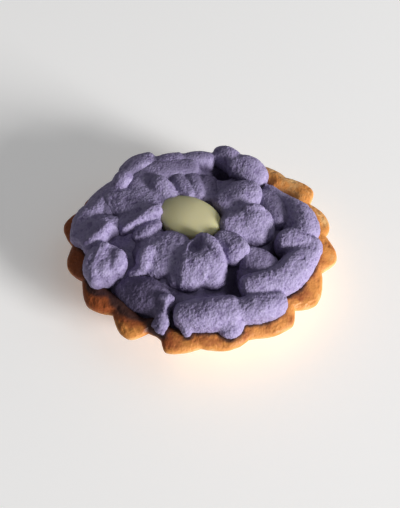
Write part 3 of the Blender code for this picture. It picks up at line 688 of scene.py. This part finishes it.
# painted shade in pits and low spots, and a painted highlight on raised grains
colour = mixed(tree, ramp(tree, relief_light_shade, 0.08, 0.5), DEEP_PURPLE, LAVENDER)
colour = mixed(tree, ramp(tree, relief_light_shade, 0.6, 1.0, out_high=0.75), colour, PROUD_HIGHLIGHT)
colour = mixed(tree, dark_specks, colour, DEEP_PURPLE)
# painted shade: creases, hollows, the bed and the front left outer face are darkened
colour = mixed(tree, attribute_node(tree, "painted_shade"), colour, SHADE_PURPLE)
tree.links.new(colour, shader.inputs["Base Color"])
tree.links.new(mottled(tree, cream_grain, 0.62, 0.86), shader.inputs["Roughness"])
shader.inputs["Specular IOR Level"].default_value = 0.35
shader.inputs["Subsurface Weight"].default_value = 0.06
shader.inputs["Subsurface Radius"].default_value = (0.0009, 0.0007, 0.0010)
shader.inputs["Subsurface Scale"].default_value = 1.0
bump(tree, shader, cream_grain.outputs["Height"], strength=0.55, distance=0.00022)
cream_bed.data.materials.append(cream_skin)
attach(cream_bed, "root")
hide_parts("cream")

# ---------------------------------------------------------------- the outer petals
# The same cream, piped on the bed in a ring of thick bands and lobes that lap over the edge of
# the pastry. At the front a strand and a few drops ran down from the nozzle on to the crust.

OUTER_RING = (
    Stroke("left", ((183, 23.5, 6.0), (186, 29.0, 6.2), (190, 34.0, 4.2)),
           (3.0, 4.2, 3.2), 2.4, 3.2, 12),
    Stroke("left_edge", ((187, 25.6, 8.0), (192, 27.8, 8.0), (195.5, 31.0, 7.0),
                         (197, 33.4, 5.8)),
           (1.2, 1.8, 1.7, 1.2), 1.8, 3.0),
    Stroke("left_front_base", ((204, 27.5, 6.7), (210.5, 31.0, 6.6), (213, 33.4, 4.6)),
           (4.6, 5.4, 3.8), 2.6, 3.0),
    Stroke("left_front_a", ((201, 28.0, 7.4), (207, 30.2, 7.3), (212.5, 32.6, 6.2),
                            (216.5, 34.2, 4.2)),
           (1.8, 2.7, 2.8, 2.0), 2.4, 3.4, 0, 3),
    Stroke("left_front_b", ((209, 25.2, 7.0), (214, 26.6, 7.1), (217.5, 28.6, 5.8)),
           (2.1, 2.6, 2.0), 2.4, 3.4, 0, 3),
    Stroke("left_front_rib", ((202, 31.0, 6.6), (206, 33.2, 6.4), (208.5, 35.0, 5.0)),
           (0.9, 1.2, 1.0), 1.2, 2.6),
    Stroke("front_left", ((224.5, 28.2, 1.6), (231, 27.3, 3.2), (240, 26.6, 4.0),
                          (251, 26.6, 3.4)),
           (3.3, 5.0, 5.4, 4.2), 3.0, 3.4, -20),
    Stroke("strand", ((253.0, 26.7, 5.4), (253.3, 28.4, 4.8), (252.9, 30.3, 3.4),
                      (254.0, 32.0, 2.3), (254.7, 33.5, 1.2), (255.8, 34.4, 0.4)),
           (1.2, 1.0, 1.8, 2.1, 1.8, 1.0), 1.3, 1.6),
    Stroke("strand_head", ((249.2, 27.0, 4.9), (252.6, 26.5, 5.5), (256.2, 26.3, 5.0)),
           (0.9, 1.4, 1.0), 1.2, 2.4),
    Stroke("strand_side", ((253.4, 31.2, 2.5), (251.6, 32.4, 1.5), (250.2, 33.3, 0.8)),
           (1.0, 1.3, 0.8), 1.0, 1.2),
    Stroke("front", ((261.5, 28.8, 5.0), (269, 28.8, 5.8), (279, 28.6, 6.3), (291, 28.8, 6.0)),
           (3.2, 4.4, 4.6, 4.2), 3.2, 3.8, -10),
    Stroke("front_drop_a", ((265.5, 30.8, 4.0), (266.2, 32.6, 2.4), (267.2, 33.7, 1.0)),
           (2.2, 1.6, 0.9), 1.4, 1.4),
    Stroke("front_drop_b", ((286.5, 30.0, 5.0), (286.2, 32.4, 3.3), (285, 34.3, 1.4)),
           (4.4, 3.8, 1.8), 2.2, 1.8),
    Stroke("front_right", ((293.0, 29.0, 5.6), (300, 30.2, 6.3), (308, 31.4, 6.4),
                           (314.5, 32.2, 5.4)),
           (3.0, 3.6, 3.7, 3.2), 2.8, 3.2, -6),
    Stroke("right_front", ((302.5, 24.4, 6.6), (307, 24.8, 7.1), (314, 26.5, 7.3),
                           (325, 28.8, 7.1), (336, 29.9, 7.2), (345, 31.2, 7.0),
                           (353, 32.0, 6.6)),
           (3.1, 3.5, 3.9, 4.5, 4.6, 4.1, 3.2), 2.8, 4.0, -16),
    Stroke("right_curl", ((346.5, 23.2, 7.7), (350, 25.4, 8.4), (351, 28.4, 8.1),
                          (350.5, 30.4, 7.1)),
           (2.4, 3.5, 3.6, 3.0), 2.6, 2.8, -12),
    Stroke("right_back", ((39, 24.6, 5.0), (28, 25.8, 5.6), (20, 27.4, 6.6), (12, 29.3, 7.6),
                          (5, 30.2, 8.0), (358, 30.6, 7.6)),
           (2.6, 3.2, 3.5, 4.6, 4.8, 4.0), 3.0, 3.6, 30),
    Stroke("back_right", ((70, 24.8, 7.8), (62, 25.3, 8.7), (54, 25.4, 8.2), (47.5, 25.6, 6.2)),
           (2.6, 4.4, 4.5, 3.3), 3.2, 4.2, -18),
    Stroke("back_peak", ((82, 27.6, 6.8), (76.5, 27.6, 8.8), (70, 26.6, 8.6)),
           (2.2, 2.8, 2.8), 3.0, 4.4),
    Stroke("back", ((104, 25.6, 6.0), (95, 25.4, 6.8), (86, 25.4, 6.9)),
           (2.4, 3.4, 2.6), 2.8, 4.2, 4),
    Stroke("back_left", ((127, 26.4, 6.2), (117, 26.0, 6.8), (106, 25.8, 6.4)),
           (2.8, 3.8, 3.2), 2.8, 4.2, 8),
    Stroke("left_back_outer", ((142, 30.0, 5.8), (133, 30.2, 6.6), (123, 29.4, 6.4)),
           (2.6, 3.4, 2.8), 2.8, 4.2, 18),
    Stroke("left_back", ((155, 26.8, 6.9), (150, 27.4, 8.2), (145.5, 27.3, 8.2)),
           (2.6, 3.4, 3.0), 3.0, 4.2, 8),
    Stroke("left_back_top", ((142, 28.0, 7.0), (134, 28.4, 7.6), (126, 27.6, 6.6)),
           (3.0, 4.2, 3.0), 2.8, 4.2, 12),
    Stroke("left_back_low", ((152, 28.8, 5.5), (163, 30.4, 5.5), (174, 31.6, 5.3)),
           (3.8, 4.4, 4.2), 2.6, 4.0, -34),
    Stroke("left_low", ((173, 32.5, 5.0), (181, 33.6, 5.4), (190, 34.4, 4.1)),
           (3.0, 3.6, 3.0), 2.6, 3.2, -10),
)

PETAL_PITCH = 0.45  # the distance between the rings of a petal
FILLET_ROUNDS = 11  # a coarser skin needs fewer

outer_strokes = [stroke_rings(stroke, PETAL_PITCH) for stroke in OUTER_RING]
outer_petals = fused("outer_petals", outer_strokes, cell=1.08 * CELL)
fill_creases(outer_petals, FILLET_ROUNDS)
beat(outer_petals, heaps=0.36, curds=0.14, grains=0.15, seed=2.0)
paint_shade(outer_petals, front_left=0.85)
outer_petals.data.materials.append(cream_skin)
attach(outer_petals, "root")
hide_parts("cream")

# ---------------------------------------------------------------- the inner petals
# A second ring of short petals, each drawn out from the middle with the nozzle held low. The
# front one is the widest, a blunt fan with grooves down its face, and stands proud of the rest.

INNER_RING = (
    Stroke("front_body", ((266, 8.0, 7.8), (268, 12.4, 8.8), (270, 15.8, 8.6), (270.5, 18.4, 6.2)),
           (3.4, 5.2, 5.0, 3.6), 3.2, 3.6),
    Stroke("front_flank", ((250, 9.6, 7.0), (250, 14.0, 6.9), (251.5, 17.6, 5.9),
                           (254, 20.2, 4.0)),
           (2.6, 3.6, 3.2, 2.2), 2.4, 3.4, -24),
    Stroke("front_a", ((262, 8.4, 7.8), (260, 12.6, 8.6), (261.5, 16.8, 8.1), (263, 20.0, 4.8)),
           (2.4, 3.6, 4.0, 3.4), 3.2, 3.6, 0, 5),
    Stroke("front_b", ((277, 8.6, 8.2), (282, 12.4, 9.2), (282.5, 15.8, 8.4), (280, 18.4, 4.8)),
           (2.6, 4.2, 4.7, 4.3), 3.2, 3.6, 6, 6),
    Stroke("front_curl", ((262, 8.6, 8.6), (268, 7.2, 9.4), (280, 7.8, 10.1), (289, 10.4, 10.2),
                          (291, 14.0, 9.4), (291.5, 16.8, 7.2)),
           (1.1, 1.4, 1.7, 2.0, 2.0, 1.6), 1.9, 2.8),
    Stroke("front_right", ((311, 8.0, 8.6), (317, 11.2, 9.2), (317.5, 14.2, 9.5),
                           (315.5, 15.6, 8.8)),
           (3.0, 3.9, 4.0, 3.8), 2.8, 3.4, 4, 5),
    Stroke("right", ((353, 7.2, 8.2), (359, 12.0, 8.6), (360, 16.2, 8.6), (360.5, 18.8, 7.0)),
           (3.6, 5.6, 6.2, 4.6), 3.2, 3.8, -24, 7),
    Stroke("right_lip", ((18, 13.0, 9.6), (15, 15.6, 10.4), (12, 17.8, 9.6)),
           (0.9, 1.3, 0.9), 1.2, 3.0),
    Stroke("right_back", ((54, 8.8, 7.4), (48, 12.8, 8.3), (43, 16.6, 8.8), (38.5, 19.6, 8.2)),
           (3.2, 5.2, 5.4, 4.2), 2.6, 3.6, 6, 3),
    Stroke("right_back_side", ((36, 8.0, 7.0), (30, 12.0, 7.4), (27, 16.0, 7.0)),
           (2.0, 3.2, 3.0), 2.4, 3.4),
    Stroke("back_c", ((80, 9.2, 6.2), (83, 13.4, 6.0), (85, 17.8, 5.4)),
           (2.2, 3.4, 3.4), 2.4, 3.4, -6, 3),
    Stroke("back_b", ((95, 9.6, 7.1), (99, 14.0, 7.0), (101, 18.4, 5.9)),
           (2.0, 3.0, 3.2), 2.4, 3.4, -6, 3),
    Stroke("back_a", ((110, 9.8, 7.4), (114, 14.0, 7.4), (115, 18.6, 6.4)),
           (2.0, 3.2, 3.2), 2.4, 3.4, -8, 3),
    Stroke("back_left", ((135, 10.0, 6.4), (136, 13.6, 8.1), (135.5, 17.4, 9.1), (135, 19.6, 8.2)),
           (1.9, 3.0, 3.3, 2.6), 2.8, 3.6, 8),
    Stroke("back_left_low", ((152, 11.5, 7.0), (150, 16.0, 7.2), (147, 22.0, 6.6)),
           (2.6, 4.6, 5.0), 2.4, 3.4, -10),
    Stroke("left_back", ((165, 13.2, 8.0), (163, 19.0, 7.6), (161.5, 24.4, 7.1), (161, 27.6, 6.2)),
           (3.4, 5.4, 6.2, 5.4), 2.4, 3.2, -6, 4),
    Stroke("left", ((174, 12.0, 7.0), (181, 17.0, 6.8), (184, 22.5, 6.0)),
           (2.6, 3.6, 3.4), 2.2, 3.2, 12),
    Stroke("left_edge", ((169, 12.4, 9.2), (175, 14.0, 9.5), (181.5, 16.8, 8.6),
                         (186.5, 19.8, 7.4), (189, 22.2, 6.2)),
           (1.9, 2.1, 1.4, 1.2, 0.9), 2.0, 3.6, 18),
    Stroke("front_left_edge", ((187, 11.6, 7.2), (192.5, 14.2, 7.3), (196.5, 17.0, 6.7),
                               (198.5, 19.4, 5.6)),
           (1.3, 2.2, 2.3, 1.4), 1.8, 3.6, -6),
    Stroke("front_left", ((230, 8.5, 7.2), (226, 12.6, 7.1), (222.5, 16.2, 6.7),
                          (222.5, 18.8, 5.2)),
           (4.6, 7.4, 8.0, 6.2), 2.8, 3.6, -4),
    Stroke("front_left_rib", ((217, 16.4, 6.7), (220, 18.2, 7.6), (223.5, 20.2, 7.1),
                              (226.0, 21.8, 5.6)),
           (1.2, 2.5, 2.6, 1.6), 2.2, 4.0, 16),
    Stroke("front_left_tail", ((225.0, 21.6, 5.2), (223.8, 23.6, 3.9), (222.6, 25.4, 2.4)),
           (1.4, 1.5, 1.1), 1.0, 2.6, 6),
)

def dent(obj, direction, radius, crest, depth, width):
    """Presses a small pit down into the skin."""
    points, _ = points_of(obj)
    middle = np.array([*polar(direction, radius), RIM + crest])
    away = np.linalg.norm(points - middle, axis=1)
    points[:, 2] -= depth * bell(away, 0, width, 4)
    move_points(obj, points)


inner_strokes = [stroke_rings(stroke, PETAL_PITCH) for stroke in INNER_RING]
inner_petals = fused("inner_petals", inner_strokes, cell=CELL)
fill_creases(inner_petals, FILLET_ROUNDS)
dent(inner_petals, direction=264, radius=10.2, crest=9.0, depth=2.4, width=1.9)
beat(inner_petals, heaps=0.32, curds=0.13, grains=0.15, seed=8.0)
paint_shade(inner_petals)
inner_petals.data.materials.append(cream_skin)
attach(inner_petals, "root")
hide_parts("cream")

# ---------------------------------------------------------------- the pale middle
# A smooth spoonful of pale yellow-green fruit cream, set in the gap in the middle of the
# flower. It is soft and slightly glossy, and greener where it thins at its edge.

DOLLOP_CENTRE = (-3.4, 1.7)
DOLLOP_HALF_LENGTH, DOLLOP_HALF_WIDTH, DOLLOP_CROWN = 9.7, 7.0, 2.4
DOLLOP_TURN = math.radians(-24)
DOLLOP_TOP, DOLLOP_FOOT = RIM + 8.5, RIM + 2.2
DOLLOP_COLUMNS, DOLLOP_ROWS = 180, 44
DOLLOP_LAST_ROW = 87  # degrees up the dome, where its cap begins
SLACK_HEIGHT, SLACK_SIZE, SETTLED = 0.12, 6.5, 0.15  # soft waves, and how far it has sunk
DOLLOP_THIN, DOLLOP_THICK = RIM + 6.6, RIM + 8.8  # heights for its colour

# Level by level, as a height and a share of the full outline: a short foot, then the dome.
waist = DOLLOP_TOP - DOLLOP_CROWN
levels = [(DOLLOP_FOOT, 1.0), (0.5 * (DOLLOP_FOOT + waist), 1.0)]
for rise in np.radians(np.linspace(0, DOLLOP_LAST_ROW, DOLLOP_ROWS)):
    levels.append((waist + DOLLOP_CROWN * math.sin(rise), math.cos(rise)))
dollop_turns = 2 * math.pi * np.arange(DOLLOP_COLUMNS) / DOLLOP_COLUMNS
dollop_rings = []
for height, share in levels:
    x = DOLLOP_HALF_LENGTH * share * np.cos(dollop_turns)
    y = DOLLOP_HALF_WIDTH * share * np.sin(dollop_turns)
    dollop_rings.append(np.stack([
        DOLLOP_CENTRE[0] + x * math.cos(DOLLOP_TURN) - y * math.sin(DOLLOP_TURN),
        DOLLOP_CENTRE[1] + x * math.sin(DOLLOP_TURN) + y * math.cos(DOLLOP_TURN),
        np.full(DOLLOP_COLUMNS, height)], axis=1))
dollop_points, dollop_faces = revolve(dollop_rings, (*DOLLOP_CENTRE, DOLLOP_FOOT),
                                      (*DOLLOP_CENTRE, DOLLOP_TOP))
dollop = mesh_object("fruit_dollop", dollop_points, dollop_faces)
points, normals = points_of(dollop)
slack = SLACK_HEIGHT * lumps(points, SLACK_SIZE, seed=5.0) - SETTLED
move_points(dollop, points + normals * slack[:, None])
paint(dollop, "thickness", eased(points[:, 2], DOLLOP_THIN, DOLLOP_THICK))

DOLLOP_PALE = (0.63, 0.585, 0.35, 1)
DOLLOP_GREEN = (0.62, 0.59, 0.32, 1)

fruit, tree, shader = new_material("fruit_cream")
fruit_grain = mottle_node(tree, grain=900, patches=160)
thick = added(tree, attribute_node(tree, "thickness"), mottled(tree, fruit_grain, -0.12, 0.12))
colour = mixed(tree, ramp(tree, thick, 0.0, 0.9), DOLLOP_GREEN, DOLLOP_PALE)
tree.links.new(colour, shader.inputs["Base Color"])
tree.links.new(mottled(tree, fruit_grain, 0.34, 0.5), shader.inputs["Roughness"])
shader.inputs["Subsurface Weight"].default_value = 0.6
shader.inputs["Subsurface Radius"].default_value = (0.0034, 0.0030, 0.0016)
shader.inputs["Subsurface Scale"].default_value = 1.0
bump(tree, shader, fruit_grain.outputs["Height"], strength=0.08, distance=0.00012)
dollop.data.materials.append(fruit)
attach(dollop, "root")
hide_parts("dollop")

# ---------------------------------------------------------------- juice and painted shadow in the pastry
# The cream is moist, so the pastry that it touches takes up juice and goes dark along the line
# where they meet; that dark line is also painted shadow under the cream's edge, and at the front
# left it widens into a puddle of juice and painted shadow. Round the dark line the crust is
# browner for a few millimetres, and at the front left also darker, as painted shade.

SOAK_SHADOW_MOST = 0.95
SOAK_SHADOW_FULL, SOAK_SHADOW_EDGE = 0.2, 1.3  # dark up to the first distance, and clean from the second
PUDDLE_SHADOW_FULL, PUDDLE_SHADOW_EDGE = 2.4, 4.2  # the same in the middle of the puddle
PUDDLE_SHADOW_TURN, PUDDLE_SHADOW_SPREAD = 234, 17
RAGGED = 0.5  # how far the edge of the stain wanders
BROWNED, BROWNED_AND_SHADED_FRONT_LEFT, BROWNED_TURN, BROWNED_SPREAD = 0.22, 0.36, 228, 38
BROWNED_FULL, BROWNED_EDGE = 0.8, 6.0

petal_skin = BVHTree.FromObject(outer_petals, bpy.context.evaluated_depsgraph_get())
shell_at, _ = points_of(shell)
far = BROWNED_EDGE * MM
near = np.array([(petal_skin.find_nearest(Vector(p) * MM, far)[3] or far) / MM
                 for p in shell_at])
near = near + RAGGED * lumps(shell_at, size=1.6, seed=17.0)
shell_turn = directions_of(shell_at)
puddle_shadow = bell(shell_turn, PUDDLE_SHADOW_TURN, PUDDLE_SHADOW_SPREAD)
soak_shadow_full = SOAK_SHADOW_FULL + (PUDDLE_SHADOW_FULL - SOAK_SHADOW_FULL) * puddle_shadow
soak_shadow_edge = SOAK_SHADOW_EDGE + (PUDDLE_SHADOW_EDGE - SOAK_SHADOW_EDGE) * puddle_shadow
# juice stain and painted shadow along the cream's edge, widest at the front left
paint(shell, "soak_and_shadow", SOAK_SHADOW_MOST * (1 - eased(near, soak_shadow_full, soak_shadow_edge)))
# browner round the cream, and at the front left also darker as painted shade
browned_and_shaded = BROWNED + BROWNED_AND_SHADED_FRONT_LEFT * bell(shell_turn, BROWNED_TURN, BROWNED_SPREAD)
browned_and_shaded = browned_and_shaded * (1 - eased(near, BROWNED_FULL, BROWNED_EDGE))
paint(shell, "baked_light_shade", np.clip(baked_light_shade + browned_and_shaded, 0, 1))

# ---------------------------------------------------------------- floor, light and camera
# A plain pale table that glows very faintly, so that its shadows stay light. One soft low
# window stands at the right, a large dim light hangs overhead, and a little light comes from
# all round. The camera looks down at the tartlet from the front, through a fairly long lens.

FLOOR_HALF = 1500.0
floor_corners = [(-FLOOR_HALF, -FLOOR_HALF, 0), (FLOOR_HALF, -FLOOR_HALF, 0),
                 (FLOOR_HALF, FLOOR_HALF, 0), (-FLOOR_HALF, FLOOR_HALF, 0)]
floor = mesh_object("floor", floor_corners, [(0, 1, 2, 3)])
table_top, tree, shader = new_material("pale_table")
shader.inputs["Base Color"].default_value = (0.88, 0.88, 0.88, 1)
shader.inputs["Roughness"].default_value = 0.8
shader.inputs["Emission Color"].default_value = (1.0, 0.985, 0.96, 1)
shader.inputs["Emission Strength"].default_value = 0.22
floor.data.materials.append(table_top)

LIGHTS_AIM = Vector((0, 0, 0.015))  # metres, as all of the lights' and the camera's places


def soft_light(name, azimuth, elevation, distance, width, power, colour):
    """A square soft light that faces the tartlet from one direction."""
    light = bpy.data.lights.new(name, "AREA")
    light.size, light.energy, light.color = width, power, colour
    obj = bpy.data.objects.new(name, light)
    bpy.context.scene.collection.objects.link(obj)
    across, rise = math.radians(azimuth), math.radians(elevation)
    towards = Vector((math.cos(across) * math.cos(rise), math.sin(across) * math.cos(rise),
                      math.sin(rise)))
    obj.matrix_world = (Matrix.Translation(towards * distance + LIGHTS_AIM)
                        @ towards.to_track_quat("Z", "Y").to_matrix().to_4x4())


soft_light("window", azimuth=-31, elevation=14.2, distance=2.2, width=0.66, power=86,
           colour=(1.0, 0.985, 0.97))
soft_light("ceiling", azimuth=15, elevation=52, distance=0.9, width=0.8, power=1.0,
           colour=(0.94, 0.96, 1.0))
room = bpy.data.worlds.new("room")
room.use_nodes = True
room_light = room.node_tree.nodes["Background"]
room_light.inputs["Color"].default_value = (0.95, 0.97, 1.0, 1)
room_light.inputs["Strength"].default_value = 0.14
bpy.context.scene.world = room
bpy.context.scene.view_settings.view_transform = "Standard"

CAMERA_AT = Vector((0.00003, -0.13037, 0.18253))
CAMERA_LOOKS_AT = Vector((0.0003, -0.00697, 0.014))
CAMERA_ROLL = math.radians(3.3)
lens = bpy.data.cameras.new("camera")
lens.sensor_fit = "VERTICAL"
lens.sensor_height = 36
lens.lens = 51.9
lens.clip_start = 0.01
camera = bpy.data.objects.new("camera", lens)
bpy.context.scene.collection.objects.link(camera)
back = (CAMERA_AT - CAMERA_LOOKS_AT).to_track_quat("Z", "Y").to_matrix().to_4x4()
camera.matrix_world = Matrix.Translation(CAMERA_AT) @ back @ Matrix.Rotation(CAMERA_ROLL, 4, "Z")
bpy.context.scene.camera = camera
